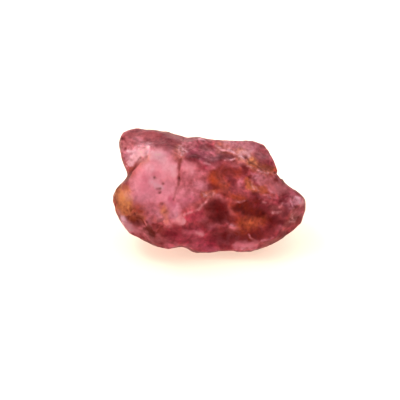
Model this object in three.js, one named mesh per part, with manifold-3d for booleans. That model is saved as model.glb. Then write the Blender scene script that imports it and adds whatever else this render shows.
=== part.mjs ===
// A rough rhodolite garnet: one broken, water-worn piece of clear crystal, resting on its flattest break.
//
// The broad face is shaped in a frame of its own: u runs along the stone, v up the face and w out of it.
// That frame leans back over the resting face. Millimetres, +Z up, origin under the middle of the stone.
import * as THREE from "three";
import { ImprovedNoise } from "three/addons/math/ImprovedNoise.js";
import { mergeVertices } from "three/addons/utils/BufferGeometryUtils.js";
import Module from "manifold-3d";

const LENGTH = 14; // the stone's longest extent
const FRONT_BULGE = 3.9; // how far the body swells out of the broad face's plane
const BACK_BULGE = 4.2; // and behind it
const LEAN_DEG = 40; // the broad face's lean back from upright, as the stone rests
const REST_DROP = 3.7; // the resting face's depth below the middle of the broad face

// Places on the stone are in hundredths of its length.
const UNIT = LENGTH / 100;
const place = (u, v, w) => new THREE.Vector3(u, v, w).multiplyScalar(UNIT);

const wasm = await Module();
wasm.setup();
const noise = new ImprovedNoise();

function solidOf(geometry) {
  const bare = geometry.clone();
  bare.deleteAttribute("normal");
  bare.deleteAttribute("uv");
  const merged = mergeVertices(bare, 1e-5);
  return new wasm.Manifold(
    new wasm.Mesh({
      numProp: 3,
      vertProperties: merged.attributes.position.array,
      triVerts: new Uint32Array(merged.index.array),
    }),
  );
}

function geometryOf(solid) {
  const { numProp, vertProperties, triVerts } = solid.getMesh();
  const made = new THREE.BufferGeometry();
  const interleaved = new THREE.InterleavedBuffer(vertProperties, numProp);
  made.setAttribute("position", new THREE.InterleavedBufferAttribute(interleaved, 3, 0));
  made.setIndex(new THREE.BufferAttribute(triVerts, 1));
  return made.toNonIndexed();
}

// --- The body: the broad face's outline, swelling to the front and back ---------------------

// The outline, anticlockwise from the right-hand tip.
const OUTLINE = [
  [50, -6], [48.8, -2.8], [46, 0], [43, 1.6], [40, 3.5], [37.2, 6.6], [35.3, 9], [34.6, 12.5],
  [33.5, 15.6], [30.5, 21.2], [28.3, 23.9], [25, 25.2], [20, 26], [11, 25.8], [4.5, 26.1],
  [0, 26.7], [-5, 27.6], [-12.5, 27.7], [-17, 29.1], [-24, 30.7], [-32, 31.8], [-39, 32.2],
  [-44, 30.9], [-46.6, 27], [-46.9, 22], [-45.3, 16.4], [-43.4, 11.6], [-43.1, 7.6],
  [-45.4, 3.9], [-49, 0], [-50, -4.4], [-49.1, -8.6], [-47.6, -12.8], [-43, -20.1],
  [-39.7, -22.9], [-32.2, -27], [-24.7, -29.5], [-21, -30.1], [-17, -29.6], [-13.6, -29.1],
  [-11, -30.3], [-8.5, -31.7], [-5.5, -32.2], [0, -32.2], [7, -31.6], [11.5, -31.4],
  [17, -32], [22, -31.4], [29.4, -29.4], [36.6, -25.6], [43.7, -20.4], [47.5, -17.3],
  [48.9, -13],
];
const OUTLINE_STEPS = 110;
const RING_STEPS = 17; // from the outline to either pole
const SWELL = 2.35; // 2 is an ellipse's roundness, and more is boxier
const RIM_WAVE = 5; // how far the rim wanders out of the outline's plane
const LUMP = 0.7; // how far the body's lumps rise and sink, front to back
const LUMP_SPAN = 2.4; // over about this distance

function bodyGeometry() {
  const corners = OUTLINE.map(([u, v]) => place(u, v, 0));
  const rim = new THREE.CatmullRomCurve3(corners, true).getPoints(OUTLINE_STEPS);
  rim.pop(); // the last point is the first again
  const positions = [];
  const index = [];
  const rings = 2 * RING_STEPS - 1;
  const power = 2 / SWELL;
  for (let r = 0; r < rings; r++) {
    const latitude = ((r + 1) / (rings + 1) - 0.5) * Math.PI;
    const spread = Math.cos(latitude) ** power;
    const height = Math.sign(latitude) * Math.abs(Math.sin(latitude)) ** power;
    for (const p of rim) {
      const around = Math.atan2(p.y, p.x);
      const wave = RIM_WAVE * UNIT * Math.sin(2 * around + 0.6) * spread;
      const bulge = height > 0 ? FRONT_BULGE : BACK_BULGE;
      const [x, y] = [p.x * spread, p.y * spread];
      const lump = LUMP * noise.noise(x / LUMP_SPAN, y / LUMP_SPAN, height);
      positions.push(x, y, height * bulge + wave + lump);
    }
  }
  const n = rim.length;
  const backPole = positions.push(0, 0, -BACK_BULGE) / 3 - 1;
  const frontPole = positions.push(0, 0, FRONT_BULGE) / 3 - 1;
  for (let i = 0; i < n; i++) {
    const next = (i + 1) % n;
    index.push(backPole, next, i);
    index.push(frontPole, (rings - 1) * n + i, (rings - 1) * n + next);
    for (let r = 0; r < rings - 1; r++) {
      const a = r * n + i;
      const b = r * n + next;
      index.push(a, b, a + n, b, b + n, a + n);
    }
  }
  const made = new THREE.BufferGeometry();
  made.setAttribute("position", new THREE.Float32BufferAttribute(positions, 3));
  made.setIndex(index);
  return made;
}

// --- The breaks: shell-shaped hollows that a blow leaves in a crystal with no cleavage -------

// Each is a bowl of a given radius, whose deepest point is at a place and faces a way.
const BREAKS = [
  // the broad face
  { name: "bright_face", at: [-29, 2, 16], facing: [-0.24, 0.2, 1], radius: 80 },
  { name: "middle_face", at: [-4, 3, 20], facing: [-0.04, 0.16, 1], radius: 80 },
  { name: "amber_face", at: [15, 3, 17.6], facing: [0.22, 0.35, 1], radius: 60 },
  { name: "frosted_shoulder", at: [-4, 20, 12.8], facing: [0.14, 1.0, 1], radius: 60 },
  { name: "wedge_face", at: [10, 18, 14], facing: [0.28, 0.75, 1], radius: 40 },
  { name: "back_lobe_face", at: [24, 18, 8.6], facing: [0.6, 0.9, 1], radius: 60 },
  { name: "right_slope", at: [36, -2, 13.7], facing: [0.45, 0.4, 1], radius: 60 },
  { name: "left_corner_face", at: [-41, 19, 8.9], facing: [-0.5, 0.42, 1], radius: 40 },
  { name: "top_bevel", at: [-30, 27, 7.6], facing: [-0.3, 1.3, 1], radius: 70 },
  { name: "orange_edge", at: [-44, -5, 11.1], facing: [-0.84, 0, 1], radius: 60 },
  // under the brow
  { name: "maroon_hollow", at: [3, -11.5, 15], facing: [0, -0.45, 1], radius: 24 },
  { name: "plum_face", at: [-16, -22, 17.5], facing: [-0.15, -0.8, 1], radius: 80 },
  { name: "square_face", at: [5, -24, 10.2], facing: [0.05, -0.9, 1], radius: 60 },
  { name: "orange_hollow", at: [26, -12.5, 12], facing: [0.3, -0.4, 1], radius: 24 },
  { name: "bottom_strip", at: [19, -28.5, 7], facing: [0.1, -1.6, 1], radius: 60 },
  { name: "lower_right_face", at: [42, -18, 6], facing: [0.9, -0.7, 1], radius: 60 },
  { name: "left_foot_face", at: [-38, -20, 11.7], facing: [-0.55, -0.8, 1], radius: 60 },
  // the back
  { name: "back_left", at: [-28, 8, -17], facing: [-0.4, 0.15, -1], radius: 70 },
  { name: "back_middle", at: [2, 8, -21], facing: [0.05, 0.3, -1], radius: 80 },
  { name: "back_right", at: [28, 6, -15], facing: [0.6, 0.35, -1], radius: 60 },
  { name: "back_crown_left", at: [-22, 25, -9], facing: [-0.1, 1.1, -1], radius: 50 },
  { name: "back_crown_right", at: [16, 21, -9], facing: [0.35, 1.2, -1], radius: 50 },
  { name: "back_left_foot", at: [-34, -14, -12], facing: [-0.8, -0.7, -1], radius: 60 },
  { name: "back_right_foot", at: [34, -18, -9], facing: [0.9, -0.9, -1], radius: 50 },
  { name: "back_top_left", at: [-36, 28, -6.5], facing: [-0.3, 1, -0.7], radius: 40 },
  { name: "back_top_middle", at: [-4, 24, -9], facing: [0, 1, -0.8], radius: 50 },
  { name: "back_top_right", at: [30, 20, -2], facing: [0.9, 0.8, -0.6], radius: 40 },
  { name: "left_end", at: [-46, -8, -5], facing: [-1, -0.1, -0.5], radius: 50 },
  { name: "right_end", at: [46.5, -10, -4], facing: [1, 0, -0.6], radius: 40 },
];
const BREAK_FACET = 0.52; // the side of a break's triangles
const STRAY = 0.3; // how far a break's surface strays from a true sphere
const STRAY_SPAN = 2.6; // over about this distance

// Moves each point a little, by smooth noise, so that the ridges run unevenly.
function strayed(geometry) {
  const points = geometry.attributes.position;
  for (let i = 0; i < points.count; i++) {
    const [x, y, z] = [points.getX(i), points.getY(i), points.getZ(i)];
    const [a, b, c] = [x / STRAY_SPAN, y / STRAY_SPAN, z / STRAY_SPAN];
    points.setXYZ(
      i,
      x + STRAY * noise.noise(a, b, c + 11.3),
      y + STRAY * noise.noise(a + 37.1, b, c),
      z + STRAY * noise.noise(a, b + 53.7, c),
    );
  }
  return geometry;
}

function bowl({ at, facing, radius }) {
  const reach = radius * UNIT;
  const way = new THREE.Vector3(...facing).normalize();
  const centre = place(...at).addScaledVector(way, reach);
  const ball = new THREE.IcosahedronGeometry(reach, Math.round(reach / BREAK_FACET));
  return strayed(ball.translate(centre.x, centre.y, centre.z));
}

// --- The grooves: where a crack let the water in between two lobes -----------------------------

// Each is round, of a given radius, and its floor runs from one place to another and faces a way.
const GROOVES = [
  { name: "left_step", from: [-44, 9, 6.5], to: [-30, 21.5, 13.8], facing: [-0.3, 0.4, 1], radius: 3 },
  { name: "lobe_step", from: [37, 7, 8.6], to: [16, 18.5, 12.8], facing: [0.5, 0.9, 1], radius: 6 },
  { name: "foot_notch", from: [-13, -33, 5.2], to: [-14, -19, 20.6], facing: [0, -0.9, 1], radius: 9 },
  { name: "back_step", from: [-46, 12, -10], to: [-8, 25, -13.5], facing: [-0.2, 0.6, -1], radius: 16 },
];
const GROOVE_FACETS = 14; // round a groove
const GROOVE_STEPS = 12; // along it

function groove({ from, to, facing, radius }) {
  const reach = radius * UNIT;
  const way = new THREE.Vector3(...facing).normalize();
  const start = place(...from).addScaledVector(way, reach);
  const run = place(...to).addScaledVector(way, reach).sub(start);
  const shape = new THREE.CapsuleGeometry(reach, run.length(), 5, GROOVE_FACETS, GROOVE_STEPS);
  const upright = new THREE.Vector3(0, 1, 0);
  shape.applyQuaternion(new THREE.Quaternion().setFromUnitVectors(upright, run.clone().normalize()));
  const middle = start.addScaledVector(run, 0.5);
  return strayed(shape.translate(middle.x, middle.y, middle.z));
}

function stone() {
  let made = solidOf(bodyGeometry());
  for (const cut of [...BREAKS.map(bowl), ...GROOVES.map(groove)]) made = made.subtract(solidOf(cut));
  return made;
}

// --- The resting face: the stone leans back and stands on one flat break --------------------

function atRest(solid) {
  const lean = new THREE.Matrix4().makeRotationX(THREE.MathUtils.degToRad(90 - LEAN_DEG));
  const leaned = solidOf(geometryOf(solid).applyMatrix4(lean));
  const below = new THREE.BoxGeometry(4 * LENGTH, 4 * LENGTH, 2 * LENGTH);
  below.translate(0, 0, -REST_DROP - LENGTH);
  const flat = geometryOf(leaned.subtract(solidOf(below)));
  flat.computeBoundingBox();
  const { min, max } = flat.boundingBox;
  return flat.translate(-(min.x + max.x) / 2, -(min.y + max.y) / 2, -min.z);
}

const garnet = new THREE.Mesh(
  atRest(stone()),
  new THREE.MeshStandardMaterial({ color: 0xb4405a, roughness: 0.3, metalness: 0 }),
);
garnet.name = "garnet";

const part = new THREE.Group();
part.add(garnet);
export default part;
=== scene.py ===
import math

import bmesh
import bpy
import numpy as np
from mathutils import Matrix, Vector, noise


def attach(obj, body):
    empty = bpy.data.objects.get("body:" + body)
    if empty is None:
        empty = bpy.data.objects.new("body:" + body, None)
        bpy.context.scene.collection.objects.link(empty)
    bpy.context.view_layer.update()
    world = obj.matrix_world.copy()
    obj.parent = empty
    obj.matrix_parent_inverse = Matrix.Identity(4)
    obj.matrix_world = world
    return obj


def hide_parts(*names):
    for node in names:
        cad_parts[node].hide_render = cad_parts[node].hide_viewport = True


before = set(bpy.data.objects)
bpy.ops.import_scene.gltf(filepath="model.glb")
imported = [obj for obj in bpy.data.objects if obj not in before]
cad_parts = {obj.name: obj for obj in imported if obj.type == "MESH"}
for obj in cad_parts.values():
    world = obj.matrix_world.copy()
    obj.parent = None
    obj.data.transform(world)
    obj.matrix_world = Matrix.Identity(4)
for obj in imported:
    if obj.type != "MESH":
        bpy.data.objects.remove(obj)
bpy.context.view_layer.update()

# --- The stone -------------------------------------------------------------------------------
# One crystal of rhodolite, a purplish-red garnet, broken out of its rock and rolled in gravel.
# It is clear inside, and its shell-shaped breaks are worn to a frosted satin. Iron from the
# gravel has stained it orange-brown in places.

MM = 0.001
FINEST = 0.069  # millimetres between the points of the worn surface
SAME_PLACE = 1e-4  # millimetres within which two corners of the CAD mesh are one
SOFTENING = 12  # how often the ridges are smoothed, before the wear is put on
STONE_LENGTH = 14.0  # millimetres
FACE_LIFT = math.radians(40)  # the broad face leans back, and looks this far up from level
FACE_RIGHT = Vector((1, 0, 0))
FACE_UP = Vector((0, math.sin(FACE_LIFT), math.cos(FACE_LIFT)))
FACE_OUT = Vector((0, -math.cos(FACE_LIFT), math.sin(FACE_LIFT)))
FACE_CENTRE = Vector((0, 0.106, 3.7)) * MM  # the middle of the broad face's outline

# How the surface is worn, all in millimetres but the density, which is per square millimetre.
WEAR = {
    "Wander": 0.30,
    "Wander Size": 1.5,
    "Lump Height": 0.22,
    "Lump Size": 1.9,
    "Ripple Height": 0.004,
    "Ripple Spacing": 0.5,
    "Ripple Fan": 6.25,
    "Grain Height": 0.13,
    "Grain Size": 0.7,
    "Nick Depth": 0.06,
    "Nick Size": 0.8,
    "Pit Density": 0.8,
    "Pit Radius": 0.30,
    "Pit Depth": 0.05,
    "Crack Depth": 0.06,
    "Vein Height": 0.03,
    "Swell Height": 0.3,
}


def socket_of(value):
    """The output that a node feeds on by default, or the socket itself."""
    if isinstance(value, bpy.types.Node):
        return next(out for out in value.outputs if out.enabled)
    return value


def add(tree, kind, inputs=(), **settings):
    """Adds a node with its settings, and feeds its inputs with values or with other nodes."""
    node = tree.nodes.new(kind)
    for name, value in settings.items():
        setattr(node, name, value)
    for key, value in dict(inputs).items():
        value = socket_of(value)
        if isinstance(value, bpy.types.NodeSocket):
            tree.links.new(value, node.inputs[key])
        else:
            node.inputs[key].default_value = value
    return node


def weathering_tree():
    """Wears a stone, in millimetres: wandering ridges, lumps, nicked edges, pits and a grain."""
    tree = bpy.data.node_groups.new("weathering", "GeometryNodeTree")
    tree.interface.new_socket("Geometry", in_out="INPUT", socket_type="NodeSocketGeometry")
    for name in WEAR:
        tree.interface.new_socket(name, in_out="INPUT", socket_type="NodeSocketFloat")
    tree.interface.new_socket("Material", in_out="INPUT", socket_type="NodeSocketMaterial")
    tree.interface.new_socket("Geometry", in_out="OUTPUT", socket_type="NodeSocketGeometry")
    enter = add(tree, "NodeGroupInput").outputs
    place = add(tree, "GeometryNodeInputPosition")
    normal = add(tree, "GeometryNodeInputNormal")

    # Each noise is read from a place of its own, so that no two run together.
    noises = {}
    for name, detail, roughness, shift in (
        ("Wander Size", 2.0, 0.5, 31.0),
        ("Lump Size", 2.0, 0.5, 0.0),
        ("Grain Size", 4.0, 0.62, 7.0),
        ("Nick Size", 2.0, 0.5, 13.0),
    ):
        moved = add(tree, "ShaderNodeVectorMath", {0: place, 1: (shift, shift, shift)})
        scale = add(tree, "ShaderNodeMath", {0: 1.0, 1: enter[name]}, operation="DIVIDE")
        noises[name] = add(
            tree,
            "ShaderNodeTexNoise",
            {"Vector": moved, "Scale": scale, "Detail": detail, "Roughness": roughness},
        )
    layers = {}
    for name in ("frost_and_highlight", "clear", "crack", "vein_and_highlight", "swell"):
        layers[name] = add(
            tree, "GeometryNodeInputNamedAttribute", {"Name": name}, data_type="FLOAT"
        )

    # The ridges between the breaks wander a little.
    drift = add(
        tree,
        "ShaderNodeVectorMath",
        {0: noises["Wander Size"].outputs["Color"], 1: (0.5, 0.5, 0.5)},
        operation="SUBTRACT",
    )
    drift = add(
        tree, "ShaderNodeVectorMath", {0: drift, "Scale": enter["Wander"]}, operation="SCALE"
    )
    stone = add(
        tree, "GeometryNodeSetPosition", {"Geometry": enter["Geometry"], "Offset": drift}
    )

    # Ridges stand proud of the surface around them, and take the nicks.
    fully_proud = 0.03  # millimetres
    around = add(
        tree,
        "GeometryNodeBlurAttribute",
        {"Value": place, "Iterations": 14},
        data_type="FLOAT_VECTOR",
    )
    proud = add(tree, "ShaderNodeVectorMath", {0: place, 1: around}, operation="SUBTRACT")
    proud = add(tree, "ShaderNodeVectorMath", {0: proud, 1: normal}, operation="DOT_PRODUCT")
    proud = add(
        tree,
        "ShaderNodeMapRange",
        {
            "Value": proud.outputs["Value"],
            "From Min": -fully_proud,
            "From Max": fully_proud,
            "To Min": -1.0,
        },
    )
    nick = add(
        tree,
        "ShaderNodeMapRange",
        {"Value": noises["Nick Size"], "From Min": 0.4, "From Max": 0.7},
    )
    edge = add(tree, "ShaderNodeMath", {0: proud, 1: 0.0}, operation="MAXIMUM")
    nick = add(tree, "ShaderNodeMath", {0: nick, 1: edge}, operation="MULTIPLY")

    # Fans of fine ripples, as a shell-shaped break leaves them, bent over the lumps.
    bending = 9.0
    fan = add(tree, "ShaderNodeMath", {0: 1.0, 1: enter["Ripple Fan"]}, operation="DIVIDE")
    cell = add(tree, "ShaderNodeTexVoronoi", {"Vector": place, "Scale": fan}, feature="F1")
    turn = add(tree, "ShaderNodeMath", {0: cell, 1: enter["Ripple Fan"]}, operation="MULTIPLY")
    turn = add(
        tree, "ShaderNodeMath", {0: turn, 1: enter["Ripple Spacing"]}, operation="DIVIDE"
    )
    bend = add(
        tree, "ShaderNodeMath", {0: noises["Lump Size"], 1: bending}, operation="MULTIPLY"
    )
    turn = add(
        tree, "ShaderNodeMath", {0: turn, 1: 2 * math.pi, 2: bend}, operation="MULTIPLY_ADD"
    )
    ripple = add(tree, "ShaderNodeMath", {0: turn}, operation="SINE")

    # A grain, coarser where the skin is frosted and finer where it is clear.
    plain_grain = 0.6
    more_if_frosted = 0.7
    less_if_clear = -0.45
    lump = add(
        tree, "ShaderNodeMath", {0: noises["Lump Size"], 1: 0.5}, operation="SUBTRACT"
    )
    grain = add(
        tree, "ShaderNodeMath", {0: noises["Grain Size"], 1: 0.5}, operation="SUBTRACT"
    )
    coarse = add(
        tree,
        "ShaderNodeMath",
        {0: layers["frost_and_highlight"], 1: more_if_frosted, 2: plain_grain},
        operation="MULTIPLY_ADD",
    )
    coarse = add(
        tree,
        "ShaderNodeMath",
        {0: layers["clear"], 1: less_if_clear, 2: coarse},
        operation="MULTIPLY_ADD",
    )
    grain = add(tree, "ShaderNodeMath", {0: grain, 1: coarse}, operation="MULTIPLY")

    # Round pits of mixed sizes.
    spots = add(
        tree,
        "GeometryNodeDistributePointsOnFaces",
        {"Mesh": stone, "Density": enter["Pit Density"], "Seed": 5},
    ).outputs["Points"]
    reach = add(tree, "GeometryNodeProximity", {"Geometry": spots}, target_element="POINTS")
    nearest = add(tree, "GeometryNodeSampleNearest", {"Geometry": spots}, domain="POINT")
    chance = add(
        tree, "FunctionNodeRandomValue", {"Min": 0.25, "Max": 1.0, "Seed": 3}, data_type="FLOAT"
    )
    size = add(
        tree,
        "GeometryNodeSampleIndex",
        {"Geometry": spots, "Value": chance, "Index": nearest},
        data_type="FLOAT",
        domain="POINT",
    )
    wide = add(tree, "ShaderNodeMath", {0: size, 1: enter["Pit Radius"]}, operation="MULTIPLY")
    reach = add(
        tree, "ShaderNodeMath", {0: reach.outputs["Distance"], 1: wide}, operation="DIVIDE"
    )
    reach = add(tree, "ShaderNodeMath", {0: reach, 1: 2.0}, operation="POWER")
    bowl = add(tree, "ShaderNodeMath", {0: 1.0, 1: reach}, operation="SUBTRACT")
    bowl = add(tree, "ShaderNodeMath", {0: bowl, 1: 0.0}, operation="MAXIMUM")
    bowl = add(tree, "ShaderNodeMath", {0: bowl, 1: size}, operation="MULTIPLY")

    # What stands up, less what is sunk, along the surface's own direction.
    height = 0.0
    for form, size in (
        (lump, enter["Lump Height"]),
        (ripple, enter["Ripple Height"]),
        (grain, enter["Grain Height"]),
        (layers["vein_and_highlight"], enter["Vein Height"]),
        (layers["swell"], enter["Swell Height"]),
    ):
        height = add(
            tree, "ShaderNodeMath", {0: form, 1: size, 2: height}, operation="MULTIPLY_ADD"
        )
    for form, size in (
        (nick, enter["Nick Depth"]),
        (bowl, enter["Pit Depth"]),
        (layers["crack"], enter["Crack Depth"]),
    ):
        sunk = add(tree, "ShaderNodeMath", {0: form, 1: size}, operation="MULTIPLY")
        height = add(tree, "ShaderNodeMath", {0: height, 1: sunk}, operation="SUBTRACT")

    offset = add(tree, "ShaderNodeVectorMath", {0: normal, "Scale": height}, operation="SCALE")
    worn = add(tree, "GeometryNodeSetPosition", {"Geometry": stone, "Offset": offset})
    worn = add(tree, "GeometryNodeRealizeInstances", {"Geometry": worn})
    worn = add(
        tree, "GeometryNodeSetMaterial", {"Geometry": worn, "Material": enter["Material"]}
    )
    add(tree, "NodeGroupOutput", {"Geometry": worn})
    return tree


def plain_mesh(thing, name):
    """Turns an object with modifiers into a plain mesh, and removes the object."""
    ready = thing.evaluated_get(bpy.context.evaluated_depsgraph_get())
    made = bpy.data.meshes.new_from_object(ready)
    bpy.data.objects.remove(thing)
    made.name = name
    return made


def even_mesh():
    """The CAD stone's mesh in millimetres, remeshed finely, with its ridges worn down."""
    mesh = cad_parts["garnet"].data.copy()
    mesh.materials.clear()
    mesh.transform(Matrix.Scale(1 / MM, 4))
    shape = bmesh.new()
    shape.from_mesh(mesh)
    bmesh.ops.remove_doubles(shape, verts=shape.verts, dist=SAME_PLACE)
    shape.to_mesh(mesh)
    shape.free()
    rough = bpy.data.objects.new("rough", mesh)
    bpy.context.scene.collection.objects.link(rough)
    even = rough.modifiers.new("even", "REMESH")
    even.mode = "VOXEL"
    even.voxel_size = FINEST
    soften = rough.modifiers.new("soften", "SMOOTH")
    soften.iterations = SOFTENING
    return plain_mesh(rough, "even_garnet")


class Skin:
    """What lies where on the stone. Places on the broad face are in hundredths of the stone's
    length, right and up from its middle."""

    SOFT_EDGE = 3.5  # how abruptly a stroke ends: the higher, the firmer
    FIRM_EDGE = 4
    FADING_EDGE = 2
    SCATTER = 0.05  # flecks show where the noise is over this
    FLECK_EDGE = 5  # how sharply a fleck ends
    TIGHT_SHARE = 0.25  # thin lines and specks stray a quarter as far as soft strokes do

    def __init__(self, mesh):
        self.mesh = mesh
        count = len(mesh.vertices)
        spots = np.empty(count * 3, np.float32)
        mesh.vertices.foreach_get("co", spots)
        self.spots = spots.reshape(-1, 3)
        normals = np.empty(count * 3, np.float32)
        mesh.vertex_normals.foreach_get("vector", normals)
        self.facing = normals.reshape(-1, 3) @ np.array(FACE_OUT)
        self.front = np.clip(self.facing * 4 + 0.9, 0, 1)  # 0 on the hidden sides
        unit = STONE_LENGTH / 100
        away = self.spots - np.array(FACE_CENTRE) / MM
        wander = self.stray(1)
        wobble = self.stray(3)
        self.right = away @ np.array(FACE_RIGHT) / unit
        self.up = away @ np.array(FACE_UP) / unit
        self.loose = (self.right + wander, self.up + wobble)
        self.tight = (
            self.right + wander * self.TIGHT_SHARE,
            self.up + wobble * self.TIGHT_SHARE,
        )
        self.gaps = np.clip(0.9 + self.noise(0.5, 9) * 1.2, 0, 1)  # where thin lines fade out
        self.ragged = np.clip(1 + self.noise(0.2, 14) * 0.8, 0, 1)  # where specks are ragged
        self.layers = {}

    def noise(self, size, seed):
        """Smooth noise from -1 to 1, with lumps of a size in millimetres."""
        shift = Vector((seed * 17.3, seed * 5.1, seed * 9.7))
        scale = 1 / size
        return np.array(
            [noise.noise(Vector(spot) * scale + shift) for spot in self.spots.tolist()], np.float32
        )

    def stray(self, seed):
        """How far soft strokes stray: a slow wander, and a quick one on top of it."""
        return self.noise(0.9, seed) * 0.8 + self.noise(0.35, seed + 1) * 0.6

    def reach(self, points, where):
        """How far each place is from a line through the points."""
        across, along = where
        near = np.full(len(across), 1e9)
        ends = points[1:] or points
        for (u0, v0), (u1, v1) in zip(points, ends):
            du, dv = u1 - u0, v1 - v0
            span = max(du * du + dv * dv, 1e-9)
            t = np.clip(((across - u0) * du + (along - v0) * dv) / span, 0, 1)
            near = np.minimum(near, np.hypot(across - u0 - t * du, along - v0 - t * dv))
        return near

    def brush(self, layer, width, strength, *points):
        """A soft-edged stroke or spot of a layer."""
        near = self.reach(list(points), self.loose)
        self.lay(layer, strength * np.exp(-((near / width) ** self.SOFT_EDGE)) * self.front)

    def flecks(self, layer, width, strength, size, *points):
        """A soft-edged stroke broken up into flecks of a size in millimetres."""
        near = self.reach(list(points), self.loose)
        chance = (self.noise(size, 30 + size * 10) - self.SCATTER) * self.FLECK_EDGE
        fade = np.exp(-((near / width) ** self.FIRM_EDGE))
        self.lay(layer, strength * fade * self.front * np.clip(chance, 0, 1))

    def speck(self, layer, width, strength, place):
        """A small ragged spot."""
        near = self.reach([place], self.tight)
        fade = np.exp(-((near / width) ** self.FADING_EDGE))
        self.lay(layer, strength * fade * self.front * self.ragged)

    def line(self, layer, width, strength, *points):
        """A thin line that comes and goes."""
        near = self.reach(list(points), self.tight)
        fade = np.exp(-((near / width) ** self.FADING_EDGE))
        self.lay(layer, strength * fade * self.front * self.gaps)

    def lay(self, layer, weight):
        """Adds to a layer without going over 1."""
        old = self.layers.get(layer, 0)
        self.layers[layer] = old + weight - old * weight

    def store(self):
        """Keeps the layers as attributes of the mesh."""
        for name, values in self.layers.items():
            made = self.mesh.attributes.new(name, "FLOAT", "POINT")
            made.data.foreach_set("value", np.clip(values, -1, 1).astype(np.float32))


even = even_mesh()
skin = Skin(even)
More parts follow.
